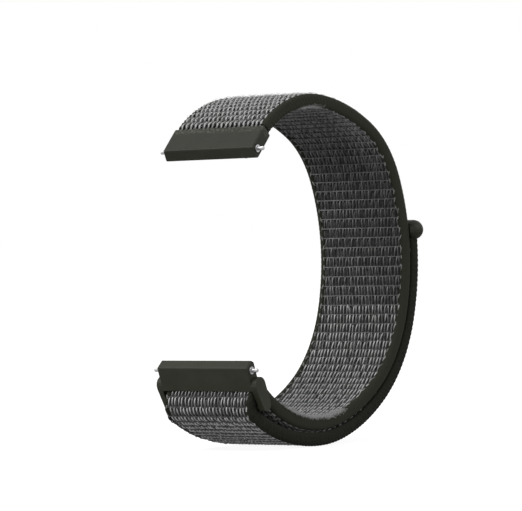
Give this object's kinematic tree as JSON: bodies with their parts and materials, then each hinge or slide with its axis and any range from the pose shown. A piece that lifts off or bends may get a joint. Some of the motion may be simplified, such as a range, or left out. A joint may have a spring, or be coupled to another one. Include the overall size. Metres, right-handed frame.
{
  "type": "woven loop watch strap",
  "caption": "Woven hook-and-loop watch strap: a band folded through a ring frame and fastened back on itself, with a bead pull and quick-release spring bars.",
  "frame": {"origin": "the middle of the watch case, half way between the axes of the two spring bars", "axes": "+X along the spring bars, +Y from the watch case towards the back of the wrist, +Z from the lower connector to the upper one"},
  "size_m": [0.0248, 0.0636, 0.0697],
  "materials": {
    "moulded": "satin dark olive, injection moulded",
    "weave": "grey woven loops over a dark ground",
    "edge_cord": "tight dark olive woven edge",
    "hook_tape": "dense short hooks",
    "steel": "bright turned steel",
    "spring_steel": "drawn wire"
  },
  "bodies": {
    "band": {"band_weave": "weave", "band_edge_near": "edge_cord", "band_edge_far": "edge_cord", "upper_connector": "moulded"},
    "upper_spring_bar": {"upper_bar_barrel": "steel", "upper_bar_fixed_tip": "steel", "upper_bar_spring": "spring_steel"},
    "upper_release": {"upper_bar_sliding_tip": "steel", "upper_bar_lever": "steel"},
    "lower_frame": {"lower_frame": "moulded"},
    "lower_spring_bar": {"lower_bar_barrel": "steel", "lower_bar_fixed_tip": "steel", "lower_bar_spring": "spring_steel"},
    "lower_release": {"lower_bar_sliding_tip": "steel", "lower_bar_lever": "steel"},
    "free_end": {"flap_weave": "weave", "flap_edge_near": "edge_cord", "flap_edge_far": "edge_cord", "hook_patch": "hook_tape", "end_bead": "moulded"}
  },
  "joints": [
    {"name": "upper_bar_turn", "type": "hinge", "parent": "band", "child": "upper_spring_bar", "pos_m": [0, 0.00162, 0.0214], "axis": [1, 0, 0], "range_deg": [-12, 12]},
    {"name": "upper_release_slide", "type": "slide", "parent": "upper_spring_bar", "child": "upper_release", "axis": [1, 0, 0], "range_m": [-0.0015, 0], "stiffness_N_per_m": 600, "springref_m": 0.002, "deforming": ["upper_bar_spring"]},
    {"name": "frame_swing", "type": "hinge", "parent": "band", "child": "lower_frame", "pos_m": [0, 0.00188, -0.02816], "axis": [1, 0, 0], "range_deg": [-35, 60]},
    {"name": "lower_bar_turn", "type": "hinge", "parent": "lower_frame", "child": "lower_spring_bar", "pos_m": [0, -0.00162, -0.0214], "axis": [1, 0, 0], "range_deg": [-12, 12]},
    {"name": "lower_release_slide", "type": "slide", "parent": "lower_spring_bar", "child": "lower_release", "axis": [1, 0, 0], "range_m": [-0.0015, 0], "stiffness_N_per_m": 600, "springref_m": 0.002, "deforming": ["lower_bar_spring"]},
    {"name": "flap_peel", "type": "hinge", "parent": "band", "child": "free_end", "pos_m": [0, 0.05377, -0.02085], "axis": [-1, 0, 0], "range_deg": [0, 80]}
  ]
}
